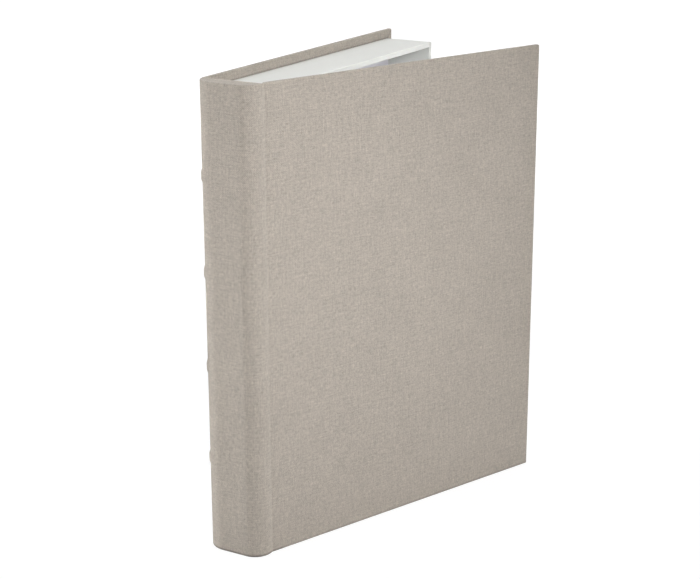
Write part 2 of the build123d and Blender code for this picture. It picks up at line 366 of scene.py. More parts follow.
def cover_fold():
    """Distance in, depth and length run of the cloth folded round a cover's edge."""
    r = EDGE_RADIUS
    lead = np.array([FOLD_START, (FOLD_START + r) / 2, r + 0.35, r + 0.08])
    reach = np.array([r + 0.08, r + 0.35, 2.0, 3.4, 4.2, 6.5, 9.5, 12.5, TURN_IN])
    d, v = folded_edge(lead[:, None], r, COVER_THICKNESS, reach[:, None])
    line = without_doubles(np.concatenate([d, v], 1))
    return line[:, 0], line[:, 1], length_run(line)


def cover_shares():
    """Where a cover's grid lines stand along it and up it, closer towards its corners."""
    share_u = np.concatenate(
        [[0, 0.0005], np.linspace(0.02, 0.94, 36), 1 - TOWARDS_EDGE / ABOUT_COVER_LENGTH]
    )
    near = TOWARDS_EDGE / COVER_HEIGHT
    share_z = np.concatenate([near[::-1], np.linspace(0.055, 0.945, 44), 1 - near])
    return share_u, share_z


def cover_grids(place, start, length, s_of):
    """Grids of cloth over a cover: its panel and the folds on three of its edges.

    place turns u, z and depth into points and s_of gives the place along the cloth at u.
    Every fold runs with the edge's rounded outline, and two folds meet on a mitre line,
    which is sunk behind the corner by a bell curve across it.
    """
    d, v, run = cover_fold()
    radius = np.maximum(CORNER_RADIUS - d, 0)
    centre = d + radius
    share_u, share_z = cover_shares()
    turn = np.radians(np.linspace(0, 45, 5))[1:]
    behind = smooth(d, *CREASE_START) * (v > COVER_THICKNESS - 0.01)

    def depth(gap):
        sunk = CREASE_DEPTH * behind[:, None] * np.exp(-((gap / CREASE_WIDTH) ** 2))
        return v[:, None] - sunk

    # The folds at tail and head, each with half of its corner's arc
    u_end = (length - centre)[:, None]
    u_line = start + (u_end - start) * share_u
    u_arc = u_end + radius[:, None] * np.sin(turn)
    z_line = 0 * u_line + (centre - radius)[:, None]
    z_arc = (centre[:, None] - radius[:, None] * np.cos(turn)) + 0 * u_arc
    u_tail = np.concatenate([u_line, u_arc], 1)
    z_tail = np.concatenate([z_line, z_arc], 1)
    sunk_to = depth(length - u_tail - z_tail)
    cut_u = s_of(u_tail)
    cut_z = (FOLD_START - run)[:, None] + 0 * u_tail
    tail = (place(u_tail, z_tail, sunk_to), np.stack([cut_u, cut_z], -1))
    head = (
        place(u_tail, COVER_HEIGHT - z_tail, sunk_to),
        np.stack([cut_u, COVER_HEIGHT - cut_z], -1),
    )

    # The fold at the fore edge, with the arcs' other halves
    z_end = (COVER_HEIGHT - centre)[:, None]
    z_run = centre[:, None] + (z_end - centre[:, None]) * share_z
    u_run = 0 * z_run + (length - centre + radius)[:, None]
    down = turn[::-1]
    u_low = (length - centre)[:, None] + radius[:, None] * np.cos(down)
    z_low = centre[:, None] - radius[:, None] * np.sin(down)
    u_edge = np.concatenate([u_low, u_run, u_low[:, ::-1]], 1)
    z_edge = np.concatenate([z_low, z_run, COVER_HEIGHT - z_low[:, ::-1]], 1)
    gap = np.minimum(z_edge, COVER_HEIGHT - z_edge) - (length - u_edge)
    sign = np.sign(s_of(np.array(length)) - s_of(np.array(start)))
    cut_s = s_of(np.array(length - FOLD_START)) + sign * run[:, None] + 0 * u_edge
    fore = (place(u_edge, z_edge, depth(gap)), np.stack([cut_s, z_edge], -1))

    u_panel = u_line[0][None, :] + 0 * share_z[:, None]
    z_panel = z_run[0][:, None] + 0 * share_u[None, :]
    panel = (place(u_panel, z_panel, 0 * u_panel), np.stack([s_of(u_panel), z_panel], -1))
    return [tail, head, fore, panel]


def on_back_cover(u, z, v):
    """Points of the back cover, u from the hinge line and v inwards."""
    return np.stack([X_INNER + u, Y_BACK - v, z + 0 * u], -1)


def on_front_cover(u, z, v):
    """Points of the open front cover, u from the hinge and v inwards."""
    return with_height(on_front(u, v), z)


def back_cover_cloth(material):
    """The cloth on the back cover, from the spine's inner face to the fore edge."""

    def place(u, z, v):
        # Beside the spine the outer face follows the spine's rounded corner.
        into = np.clip(JOINT_GAP - u, 0, None)
        sag = BACK_CORNER_RADIUS - np.sqrt(BACK_CORNER_RADIUS**2 - into**2)
        share = np.clip(1 - v / COVER_THICKNESS, 0, 1)
        return on_back_cover(u, z, v + sag * share)

    def s_of(u):
        return BACK_COVER_LENGTH - u

    grids = cover_grids(place, 0.0, BACK_COVER_LENGTH, s_of)
    middle = (X_INNER + BACK_COVER_LENGTH / 2, Y_BACK - COVER_THICKNESS / 2, HALF_HEIGHT)
    piece = make_piece("back_cover_cloth", grids, middle, material, THREAD_PLY)
    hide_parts("back_cloth")
    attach(piece, "case")


def front_cover_cloth(material):
    """The cloth on the front cover, from the hinge cloth's end to the fore edge."""
    start = JOINT_GAP + COVER_LAP

    def s_of(u):
        return S_COVER_LAP + (u - start)

    grids = cover_grids(on_front_cover, start, FRONT_COVER_LENGTH, s_of)
    middle = on_front_cover(FRONT_COVER_LENGTH / 2, HALF_HEIGHT, COVER_THICKNESS / 2)
    piece = make_piece("front_cover_cloth", grids, middle, material, THREAD_PLY)
    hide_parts("front_cloth")
    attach(piece, "front_cover")


def band_swell(columns, z, settings):
    """How far the bands lift the cloth at each height z and place along it.

    Over each band it is a round swelling, an S-curve up and down. From the spine's flat
    face on the cloth lies looser than round the back corner: it bridges further and
    lifts less. Past a band's two ends the lift runs out.
    """
    ends = (
        FLAT_BACK + radians(BAND_END_ANGLE) * BACK_CORNER_RADIUS,
        S_CORNER_END - radians(BAND_END_ANGLE) * FRONT_CORNER_RADIUS,
    )
    fade = smooth(columns, ends[0] - BAND_FADE, ends[0])
    fade = fade * (1 - smooth(columns, ends[1], ends[1] + BAND_FADE))
    face = smooth(columns, FLAT_BACK + LOOSE_FROM * BACK_ARC, S_FLAT_START)
    edge = BAND_HEIGHT / 2
    lift = 0 * (z + face)
    for centre in BAND_CENTRES:
        gap = np.abs(z - centre)
        tight = 1 - smooth(gap, edge - TIGHT_SLOPE[0], edge + TIGHT_SLOPE[1])
        loose = 1 - smooth(gap, edge - LOOSE_SLOPE[0], edge + LOOSE_SLOPE[1])
        lift = lift + tight + face * (FACE_LIFT * loose - tight)
    return settings.band_lift / MM * lift * fade


def spine_rows():
    """Heights down the outer face, close together at the edges and the bands."""
    near_edge = EDGE_RADIUS + np.array([0.0, 0.1, 0.5])
    near_band = np.concatenate([-BAND_ROWS[::-1], [0.0], BAND_ROWS])
    rows = np.concatenate(
        [near_edge, np.linspace(4, COVER_HEIGHT - 4, 55), COVER_HEIGHT - near_edge]
    )
    beside_band = BAND_ROWS[-1] + 0.8
    clear = np.all([np.abs(rows - c) > beside_band for c in BAND_CENTRES], axis=0)
    rows = np.concatenate([rows[clear], *(near_band + c for c in BAND_CENTRES)])
    return np.unique(np.round(rows, 3))


def spine_end(columns, line, out):
    """Plan points, and heights over the head, of the cloth over an end of the spine.

    Row by row it rounds the outer edge on a quarter circle, crosses straight to the inner
    face, rounds that edge and goes down the face. On the way across it is sunk in small
    pleats, bell curves along the cloth, where the outline turns.
    """
    r = EDGE_RADIUS
    edge = line - r * out
    edge[:, 0] = np.minimum(edge[:, 0], X_INNER - r - END_STEP)
    share = (columns - columns[0]) / (columns[-1] - columns[0])
    even_y = edge[0, 1] + share * (edge[-1, 1] - edge[0, 1])
    away = smooth(X_INNER - r - edge[:, 0], 0, 4)
    inner_y = edge[:, 1] + away * (even_y - edge[:, 1])
    inner = np.stack([0 * inner_y + X_INNER - r, inner_y], -1)

    turn = np.radians(np.linspace(0, 90, 8))[1:, None]
    across = np.linspace(0, 1, 9)[1:, None]
    back = np.radians(np.linspace(90, 0, 6))[1:, None]
    down = np.array([2.0, 4.5, 8.0, TURN_IN])[:, None]
    beyond = np.concatenate([r * np.cos(back), r + 0 * down])[..., None]
    plan = np.concatenate(
        [
            line + (1 - np.cos(turn))[..., None] * (edge - line),
            edge + across[..., None] * (inner - edge),
            inner + beyond * np.array((1.0, 0.0)),
        ]
    )
    places = np.concatenate([np.linspace(*corner) for corner in PLEATS])[:, None]
    pleats = np.exp(-(((columns - places) / PLEAT_WIDTH) ** 2)).sum(0)
    height = np.concatenate(
        [
            r * np.sin(turn) - r + 0 * pleats,
            -PLEAT_DEPTH * pleats * np.sin(pi * across) ** 0.8,
            r * np.sin(back) - r + 0 * pleats,
            0 * pleats - down,
        ]
    )
    return plan, height


def spine_wrap_cloth(material, settings):
    """The cloth round the spine, over the bands, across its head and tail and turned in.

    Down the outer face a point is the case's line moved out by the bands.
    """
    columns = np.concatenate(
        [
            [S_SPINE_START, S_SPINE_START + END_STEP],
            np.linspace(S_SPINE_START + 0.6, S_FLAT_START, 42),
            np.linspace(S_FLAT_START, S_FLAT_END, 16)[1:],
            np.linspace(S_FLAT_END, S_CORNER_END, 42)[1:],
            [S_JOINT_START - END_STEP, S_JOINT_START],
        ]
    )
    line, out = along_case(columns)
    z = spine_rows()
    lift = band_swell(columns, z[:, None], settings)
    outer = with_height(line + lift[..., None] * out, z[:, None])
    plan, height = spine_end(columns, line, out)
    head = with_height(plan, COVER_HEIGHT + height)
    tail = with_height(plan, -height)[::-1]
    run = length_run(head[:, len(columns) // 2])
    cut = flat_grid(columns, np.concatenate([-run[::-1], z, COVER_HEIGHT + run]))
    grid = (np.concatenate([tail, outer, head]), cut)
    middle = ((X_SPINE + X_INNER) / 2, (Y_BACK + Y_SPINE_FRONT) / 2, HALF_HEIGHT)
    piece = make_piece("spine_wrap_cloth", [grid], middle, material)
    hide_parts("spine_cloth")
    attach(piece, "case")
    height = COVER_HEIGHT + 2 * (SPINE_THICKNESS + TURN_IN)


def hinge_cloth(material):
    """The cloth across the front joint, folded on itself at head and tail.

    Over the joint the fold is two plies thick, and it widens to the board's thickness
    where the cloth reaches the front board.
    """
    columns = np.concatenate(
        [
            [S_JOINT_START, S_JOINT_START + END_STEP],
            np.linspace(S_JOINT_START + 0.2, S_JOINT_START + 4.2, 30),
            np.linspace(S_JOINT_START + 4.6, S_COVER_LAP - 0.1, 5),
            [S_COVER_LAP],
        ]
    )
    line, out = along_case(columns)
    u = columns - S_COVER_LAP + JOINT_GAP + COVER_LAP
    thick = JOINT_FOLD + (COVER_THICKNESS - JOINT_FOLD) * smooth(u, *JOINT_WIDENS)
    nearly_half = 0.98 / 2
    radius = np.minimum(EDGE_RADIUS, nearly_half * thick)
    lead = np.stack([0 * radius + FOLD_START, radius + 0.4, radius + 0.08])
    reach = np.array([1.2, 3.0, 6.0, 10.0, TURN_IN])[:, None] + 0 * radius
    d, v = folded_edge(lead, radius, thick, reach)
    end = line - v[..., None] * out
    head = with_height(end, COVER_HEIGHT - d)
    tail = with_height(end, d)[::-1]
    z = np.linspace(FOLD_START, COVER_HEIGHT - FOLD_START, 60)[1:-1]
    run = length_run(head[:, -2]) - FOLD_START
    cut = flat_grid(columns, np.concatenate([-run[::-1], z, COVER_HEIGHT + run]))
    grid = (np.concatenate([tail, with_height(line, z[:, None]), head]), cut)
    middle = on_front_cover(JOINT_GAP + COVER_LAP / 2, HALF_HEIGHT, 1.2)
    piece = make_piece("hinge_cloth", [grid], middle, material, THREAD_PLY)
    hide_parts("joint_cloth")
    start, end = ((X_INNER + x) * MM for x in HINGE_BLEND)
    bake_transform(piece)


def inner_hinge_cloth(material):
    """The strip that lines the joint inside, from the tray's rim to the front cover.

    In plan it is a line of straight stretches, the same at every height. Each bend is
    a quadratic curve between points at the bend's size before and after the corner.
    """
    t = CLOTH_THICKNESS
    over_joint = [JOINT_FOLD + gap for gap in STRIP_OVER_JOINT]
    over_cover = COVER_THICKNESS + STRIP_GAP
    stops = [
        np.array((X_INNER + t, Y_TRAY_RIM - RIM_GAP)),
        np.array((X_INNER + t, Y_SPINE_FRONT + over_joint[0])),
        on_front(JOINT_GAP - t, over_joint[1]),
        on_front(JOINT_GAP - t, over_cover),
        on_front(JOINT_GAP + INNER_STRIP_WIDTH, over_cover),
    ]
    line = [stops[0][None]]
    share = np.linspace(0, 1, 9)[:, None]
    for k, bend in enumerate(STRIP_BENDS, 1):
        before = stops[k - 1] - stops[k]
        after = stops[k + 1] - stops[k]
        a = stops[k] + bend * before / np.linalg.norm(before)
        b = stops[k] + bend * after / np.linalg.norm(after)
        curve = (1 - share) ** 2 * a + 2 * share * (1 - share) * stops[k] + share**2 * b
        line.append(curve)
    line.append(stops[4] - np.array([9, 6, 3, 1, 0])[:, None] * ALONG)
    line = np.concatenate(line)
    between = line[0] + (line[1] - line[0]) * np.array([[0.33], [0.67]])
    line = np.concatenate([line[:1], between, line[1:]])
    length = length_run(line)
    z = np.linspace(TURN_IN, COVER_HEIGHT - TURN_IN, 40)
    grid = (with_height(line, z[:, None]), flat_grid(length + S_INNER_STRIP, z))
    outside = (X_INNER - 40.0, Y_HINGE - 40.0, HALF_HEIGHT)
    piece = make_piece(
        "inner_hinge_cloth", [grid], outside, material, THREAD_PLY
    )
    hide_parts("inner_joint_strip")
    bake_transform(piece)


# Tray papers


def tray_outline(inset, radius):
    """Points round the tray's outline, drawn in by inset, and the length run to each.

    Rounded rectangles, one row for each inset and radius, with equal counts of points.
    """
    inset, radius = np.asarray(inset)[:, None], np.asarray(radius)[:, None]
    low_x, high_x = TRAY_X[0] + inset + radius, TRAY_X[1] - inset - radius
    low_z, high_z = TRAY_Z[0] + inset + radius, TRAY_Z[1] - inset - radius
    share_x = close_to_ends(26)[1:-1]
    share_z = close_to_ends(32)[1:-1]
    turn = np.radians(np.linspace(0, 90, 7))
    xs, zs = [], []
    sides = (
        (low_x, high_x, low_z, low_z, share_x, 270),
        (high_x, high_x, low_z, high_z, share_z, 0),
        (high_x, low_x, high_z, high_z, share_x, 90),
        (low_x, low_x, high_z, low_z, share_z, 180),
    )
    for x0, x1, z0, z1, share, start in sides:
        way = radians(start)
        xs.append(x0 + (x1 - x0) * share + radius * cos(way))
        zs.append(z0 + (z1 - z0) * share + radius * sin(way))
        xs.append(x1 + radius * np.cos(way + turn))
        zs.append(z1 + radius * np.sin(way + turn))
    xs, zs = np.concatenate(xs, 1), np.concatenate(zs, 1)
    xs, zs = np.concatenate([xs, xs[:, :1]], 1), np.concatenate([zs, zs[:, :1]], 1)
    return xs, zs, length_run(np.stack([xs[0], zs[0]], -1))


def tray_wall_paper(material):
    """Paper round the tray's walls: outside, over the rim and down to the floor.

    Its section is carried round the tray's outline. The rim is a little hollow, because
    the paper stands proud where it bends over the two edges of the board.
    """
    near, far = (RIM_BEND * share for share in quarter(7))
    outside_y = np.array([Y_TRAY_BACK, Y_TRAY_BACK - 1, 50.0, 38.0, 29.0, Y_TRAY_RIM + 1.2])
    inside_y = np.array([Y_TRAY_RIM + 1.2, 29.0, 38.0, 50.0, 58.0, Y_FLOOR_TOP - FLOOR_GAP])
    over = np.linspace(RIM_BEND, TRAY_WALL - RIM_BEND, 13)[1:-1]
    hollow = np.sin(pi * (over - RIM_BEND) / (TRAY_WALL - 2 * RIM_BEND)) ** 0.7
    d = np.concatenate([0 * outside_y, far, over, TRAY_WALL - near, 0 * inside_y + TRAY_WALL])
    rim = Y_TRAY_RIM + np.concatenate([near, RIM_HOLLOW * hollow, far])
    y = np.concatenate([outside_y, rim, inside_y])
    radius = TRAY_CORNERS[0] + (TRAY_CORNERS[1] - TRAY_CORNERS[0]) * d / TRAY_WALL
    xs, zs, around = tray_outline(d, radius)
    down = length_run(np.stack([d, y], -1))
    grid = (np.stack([xs, y[:, None] + 0 * xs, zs], -1), flat_grid(around, down))
    piece = make_piece("tray_wrap_paper", [grid], (0, 45, HALF_HEIGHT), material)
    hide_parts("tray_wall_paper")
    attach(piece, "case")


# Materials

# How far fibres stand out, in metres
PAPER_GRAIN = 0.00002
BOARD_GRAIN = 0.00008


class Nodes:
    """Builds one material's nodes: each call adds a node and gives its output."""

    def __init__(self, name):
        self.material = bpy.data.materials.new(name)
        self.material.use_nodes = True
        self.tree = self.material.node_tree
        self.tree.nodes.clear()
        self.output = self.tree.nodes.new("ShaderNodeOutputMaterial")

    def add(self, kind, *inputs, out=0, **options):
        """Adds a node, with its options set and its inputs joined or set in order."""
        node = self.tree.nodes.new("ShaderNode" + kind)
        sockets = {name: value for name, value in options.items() if not hasattr(node, name)}
        for name in options.keys() - sockets.keys():
            setattr(node, name, options[name])
        for name, value in sockets.items():
            self.put(node.inputs[name.replace("_", " ")], value)
        for socket, value in zip(node.inputs, inputs):
            self.put(socket, value)
        return node.outputs[out]

    def put(self, socket, value):
        """Joins an output to the socket, or sets its value."""
        if isinstance(value, bpy.types.NodeSocket):
            self.tree.links.new(value, socket)
        else:
            socket.default_value = value

    def math(self, operation, *inputs):
        return self.add("Math", *inputs, operation=operation)

    def vector(self, operation, *inputs, **options):
        return self.add("VectorMath", *inputs, operation=operation, **options)

    def in_millimetres(self, place):
        return self.vector("SCALE", place, Scale=1 / MM)

    def split(self, place):
        """The X, Y and Z of a place."""
        return list(self.add("SeparateXYZ", place).node.outputs)

    def range(self, value, low, high, to_low=0.0, to_high=1.0):
        """to_low up to low, to_high from high, and an even S-curve between them."""
        ends = (low, high, to_low, to_high)
        return self.add("MapRange", value, *ends, interpolation_type="SMOOTHSTEP")

    def line(self, off, width, amount):
        """The amount in a line: full and gone at width's distances off its middle."""
        return self.range(self.math("ABSOLUTE", off), *width, amount, 0.0)

    def noise(self, place, stretch, detail, roughness, seed):
        """Even noise from 0 to 1, its grain stretched to the size given in place's units."""
        scaled = self.vector("MULTIPLY", place, tuple(1 / s for s in stretch))
        moved = self.vector("ADD", scaled, (seed, seed * 0.7, seed * 1.3))
        return self.add("TexNoise", Vector=moved, Scale=1.0, Detail=detail, Roughness=roughness)

    def vary(self, tone, value, gain, base):
        """The tone times the sum of the base and the gain of the value."""
        return self.math("MULTIPLY", tone, self.math("MULTIPLY_ADD", value, gain, base))

    def toned(self, colour, tone):
        """The colour times the tone."""
        grey = self.add("CombineColor", tone, tone, tone)
        return self.add(
            "Mix", 1.0, data_type="RGBA", blend_type="MULTIPLY", A=colour, B=grey, out=2
        )

    def surface(self, colour, roughness, height, depth, **constant):
        """A principled surface; constants are set on its own sockets."""
        bump = self.add("Bump", Strength=1.0, Distance=depth, Height=height)
        node = self.tree.nodes.new("ShaderNodeBsdfPrincipled")
        self.put(node.inputs["Base Color"], colour)
        self.put(node.inputs["Roughness"], roughness)
        self.put(node.inputs["Normal"], bump)
        for name, value in constant.items():
            node.inputs[name.replace("_", " ")].default_value = value
        self.tree.links.new(node.outputs[0], self.output.inputs["Surface"])
        return self.material


def linear(colour):
    """A colour as written, 0 to 255, as the renderer's linear values."""
    c = np.asarray(colour, float) / 255
    return tuple(np.where(c <= 0.04045, c / 12.92, ((c + 0.055) / 1.055) ** 2.4)) + (1.0,)


def painted_shade_and_highlight(n, flat):
    """Painted shade and highlights on the cloth, by its place: 1 where nothing changes it.

    Painted shade makes a cover's cloth darker where it is turned in, and darker still in
    two lines: the crease where two folds meet, and the edge of the tray's foot. A painted
    shadow darkens it from the tail's edge on, where the box stands on it, and a painted
    highlight makes the inner fold over each end of the spine paler.
    """
    along, up, _ = n.split(flat)
    beyond = []
    for place, length in ((along, CASE_LENGTH[-1]), (up, COVER_HEIGHT)):
        off = n.math("ABSOLUTE", n.math("SUBTRACT", place, length / 2))
        beyond.append(n.math("SUBTRACT", off, length / 2))
    over = n.math("MAXIMUM", *beyond)
    off_spine = n.math("ABSOLUTE", n.math("SUBTRACT", along, S_MID_SPINE))
    covers = n.range(off_spine, *COVERS_BEGIN)

    # painted shade along the crease where two folds meet
    crease = n.math("ADD", n.math("ADD", *beyond), -INNER_FACE_RUN)
    crease = n.line(crease, CREASE_LINE, CREASE_PAINTED_SHADE)
    # painted shade along the edge of the tray's foot, on the back cover only
    foot = n.line(n.math("SUBTRACT", over, TRAY_FOOT_RUN), FOOT_LINE, FOOT_PAINTED_SHADE)
    foot = n.math("MULTIPLY", foot, n.math("LESS_THAN", along, S_SPINE_START))
    # painted shade: turned-in cloth, and more along the crease and the tray's foot
    dark = n.math("ADD", TURN_IN_PAINTED_SHADE, n.math("MAXIMUM", crease, foot))
    turned = n.math("MULTIPLY", n.range(over, *TURNED_IN), covers)
    inside = n.math("MULTIPLY", turned, dark)

    # painted shadow from the tail's edge on, where the box stands on the floor
    tail = n.range(up, *TAIL_EDGE, 1.0, 0.0)
    tail = n.math("MULTIPLY", tail, n.range(covers, 0.0, 1.0, *TAIL_PAINTED_SHADOWS))
    # painted highlight on the inner fold over each end of the spine
    fold = n.math("SUBTRACT", over, SPINE_THICKNESS)
    fold = n.line(fold, HEAD_FOLD_LINE, HEAD_FOLD_PAINTED_HIGHLIGHT)
    fold = n.math("MULTIPLY", fold, n.math("SUBTRACT", 1.0, covers))
    change = n.math("SUBTRACT", fold, n.math("MAXIMUM", inside, tail))
    return n.math("ADD", 1.0, change)


def linen(name, settings):
    """Plain-woven cloth: threads over and under each other, uneven in thickness and tone.

    Two sine waves run along the cloth and up it, and a thread is half a wave. Where their
    product is negative an upright thread lies on top and stands out with a round back,
    the first wave's size, highest where the second wave is. Elsewhere the cloth is low.
    """
    n = Nodes(name)
    flat = n.in_millimetres(n.add("UVMap", uv_map="weave"))
    wander = n.vector("MULTIPLY", flat, (1 / 9, 1 / 9, 1.0))
    wander = n.add("TexNoise", Vector=wander, Scale=1.0, Detail=2.0, out=1)
    wander = n.vector("SUBTRACT", wander, (0.5, 0.5, 0.5))
    place = n.vector("ADD", flat, n.vector("SCALE", wander, Scale=0.9))
    pitch = settings.thread_pitch / MM
    waves = [n.math("SINE", n.math("MULTIPLY", way, pi / pitch)) for way in n.split(place)[:2]]
    on_top = n.range(n.math("MULTIPLY", *waves), -0.2, 0.2, 1.0, 0.0)
    back, other = (n.math("ABSOLUTE", wave) for wave in waves)
    rise = n.math("MULTIPLY", back, n.math("MULTIPLY_ADD", other, 0.5, 0.5))
    weave = n.math("MULTIPLY", rise, on_top)

    def both_ways(across, long, detail, roughness, seeds):
        """Tones of the upright and the level threads, added up, less a half."""
        upright = n.noise(place, (across, long, 1), detail, roughness, seeds[0])
        level = n.noise(place, (long, across, 1), detail, roughness, seeds[1])
        return n.math("SUBTRACT", n.math("ADD", upright, level), 0.5)

    # Each thread's own tone, its slow changes, and slubs where it is thick
    thread = both_ways(0.85, 2.6, 2, 0.55, (3.1, 7.7))
    runs = both_ways(0.9, 12.0, 1, 0.5, (31.0, 17.0))
    slub_up = n.range(n.noise(place, (0.8, 6.5, 1), 1, 0.5, 12.3), 0.60, 0.80)
    slub_level = n.range(n.noise(place, (7.5, 0.8, 1), 1, 0.5, 5.9), 0.58, 0.78)
    slub = n.math("MAXIMUM", slub_up, slub_level)
    cloud = n.noise(flat, (34, 28, 1), 4, 0.65, 1.7)
    fleck = n.range(n.noise(flat, (0.9, 0.45, 1), 0, 0.5, 21.0), 0.80, 0.86)

    least_tone = 0.4
    tone = n.math("MULTIPLY_ADD", thread, settings.thread_tone, 1 - settings.thread_tone / 2)
    tone = n.math("MAXIMUM", tone, least_tone)
    for value, gain, base in (
        (slub, 0.07, 0.985),
        (runs, 0.28, 0.86),
        (cloud, 0.16, 0.92),
        (weave, 0.34, 0.82),
        (fleck, -0.12, 1.0),
    ):
        tone = n.vary(tone, value, gain, base)
    # painted shade and highlights on the cloth, by its place
    tone = n.math("MULTIPLY", tone, painted_shade_and_highlight(n, flat))
    height = n.math("MULTIPLY_ADD", slub, 0.45, weave)
    height = n.math("MULTIPLY_ADD", thread, 0.5, height)
    return n.surface(
        n.toned(linear([255 * c for c in settings.cloth_colour]), tone),
        n.math("MULTIPLY_ADD", weave, -0.1, 0.92),
        height,
        settings.weave_depth,
        Sheen_Weight=0.22,
        Sheen_Roughness=0.45,
        Sheen_Tint=(1.0, 0.97, 0.93, 1.0),
        Specular_IOR_Level=0.25,
    )


def painted_rim_highlight(n, place):
    """Painted highlight on the paper over the tray's rim: 1 elsewhere.

    The whole rim is painted paler, most of all on the two bends,
    though not on the fore-edge wall.
    """
    off = n.math("ABSOLUTE", n.math("SUBTRACT", n.split(place)[1], RIM_RUN))
    whole_rim = n.line(off, RIM_LINE, RIM_PAINTED_HIGHLIGHT)
    # painted highlights on the rim's two bends
    bends = n.line(n.math("SUBTRACT", off, BEND_PLACE), BEND_LINE, BEND_PAINTED_HIGHLIGHT)
    x = n.split(n.add("TexCoord", out=3))[0]
    fore_wall = TRAY_X[1] - TRAY_WALL
    other_walls = n.range(x, fore_wall * MM, (fore_wall + INSIDE_FORE_WALL) * MM, 1.0, 0.0)
    paler = n.math("MULTIPLY", n.math("ADD", whole_rim, bends), other_walls)
    return n.math("ADD", 1.0, paler)


def paper(name, colour_255, over_rim=False):
    """Smooth uncoated paper: faint clouds and a fine felt of fibres.

    Paper that goes over the tray's rim follows its own flat places and is painted paler there.
    """
    n = Nodes(name)
    where = n.add("UVMap", uv_map="weave") if over_rim else n.add("TexCoord", out=3)
    place = n.in_millimetres(where)
    felt = n.noise(place, (0.5, 0.9, 0.7), 3, 0.65, 2.2)
    cloud = n.noise(place, (22, 34, 28), 3, 0.5, 9.4)
    tone = n.vary(n.math("MULTIPLY_ADD", felt, 0.03, 0.985), cloud, 0.045, 0.978)
    if over_rim:
        # painted highlight over the tray's rim
        tone = n.math("MULTIPLY", tone, painted_rim_highlight(n, place))
    height = n.math("MULTIPLY_ADD", cloud, 2.0, felt)
    roughness = n.math("MULTIPLY_ADD", felt, 0.1, 0.7)
    colour = n.toned(linear(colour_255), tone)
    return n.surface(colour, roughness, height, PAPER_GRAIN, Specular_IOR_Level=0.3)


def board(name, colour_255, fleck_255, layer=0.35):
    """Pressed board: layered fibres with darker flecks."""
    n = Nodes(name)
    place = n.in_millimetres(n.add("TexCoord", out=3))
    felt = n.noise(place, (1.1, layer, 1.6), 4, 0.65, 4.4)
    flecks = n.range(n.noise(place, (0.7, 0.7, 2.2), 1, 0.5, 8.8), 0.62, 0.72)
    mixed = n.add(
        "Mix", flecks, data_type="RGBA", A=linear(colour_255), B=linear(fleck_255), out=2
    )
    colour = n.toned(mixed, n.math("MULTIPLY_ADD", felt, 0.3, 0.85))
    return n.surface(colour, n.math("MULTIPLY_ADD", felt, 0.15, 0.8), felt, BOARD_GRAIN)


# What a user would change


class BookBoxSettings(bpy.types.PropertyGroup):
    cloth_colour: bpy.props.FloatVectorProperty(
        name="Cloth colour",
        description="Colour of the book cloth, as written",
        subtype="COLOR_GAMMA",
        default=(0.758, 0.722, 0.677),
        min=0,
        max=1,
    )
    thread_pitch: bpy.props.FloatProperty(
        name="Thread pitch",
        description="Distance from one thread to the next",
        subtype="DISTANCE",
        default=0.00056,
        precision=5,
    )
    thread_tone: bpy.props.FloatProperty(
        name="Thread tone",
        description="How much the threads differ in tone",
        subtype="FACTOR",
        default=0.58,
        min=0,
        max=1,
    )
    weave_depth: bpy.props.FloatProperty(
        name="Weave depth",
        description="How far the threads stand out of the cloth",
        subtype="DISTANCE",
        default=0.00014,
        precision=5,
    )
    band_lift: bpy.props.FloatProperty(
        name="Band lift",
        description="How far the bands lift the cloth off the spine",
        subtype="DISTANCE",
        default=0.0008,
        precision=5,
    )


# Stage

WHITE = (1.0, 1.0, 1.0, 1.0)
AMBIENT = 0.15  # strength of the even light from all round
FLOOR_RADIUS = 6.0
FLOOR_DROP = 0.0001  # from the box's tail down to the floor
FLOOR_GREY = (0.8, 0.8, 0.8, 1.0)  # as it lights the box
FLOOR_SHADE = (0.12, 0.12, 0.12, 1.0)  # under its glow, as the camera sees it
GLOW_REACH = (0.6, 1.5)  # from the floor's middle, where the glow starts to rise and ends
GLOW = (0.93, 1.03)  # within and beyond

CAMERA_PLACE = (-0.9677, -0.53293, 0.5001)
CAMERA_ANGLES = (29.97, 17.19, -0.137)  # turn from +X, look down and roll, in degrees
LENS = 84.98
SENSOR = 36.0

BOX_MIDDLE = (0, 0, 0.16)
LAMPS = (
    # name, energy in watts, width and height, place as azimuth, elevation and distance
    # from the aim, aim, spread in degrees
    ("right_soft", 6.4, (1.2, 1.2), (-60, 8, 2.0), BOX_MIDDLE, 180),
    ("far_right_soft", 7.1, (1.2, 1.2), (-40, 8, 2.0), BOX_MIDDLE, 180),
    ("overhead", 6.8, (1.4, 1.4), (0, 88, 2.0), BOX_MIDDLE, 180),
    ("far_high", 15.2, (1.2, 1.2), (20, 40, 2.0), BOX_MIDDLE, 180),
    ("back_soft", 3.5, (1.2, 1.2), (90, 8, 2.0), BOX_MIDDLE, 180),
    ("back_left", 11.6, (1.2, 1.2), (105, 8, 2.0), BOX_MIDDLE, 180),
    ("left_near", 0.9, (0.5, 0.5), (-150, 10, 1.0), BOX_MIDDLE, 180),
    ("left_grid", 0.122, (0.3, 0.3), (-140, 30, 0.9), (-0.08, 0, 0.2), 40),
    ("front_grid", 0.299, (0.3, 0.3), (-120, 25, 1.0), (-0.06, 0, 0.2), 45),
    ("left_edge", 0.034, (0.3, 0.3), (135, 6, 1.2), (-0.16, 0.06, 0.16), 24),
    ("edge_strip", 0.17, (0.06, 0.6), (100, 2, 1.2), (-0.16, 0.06, 0.17), 12),
)


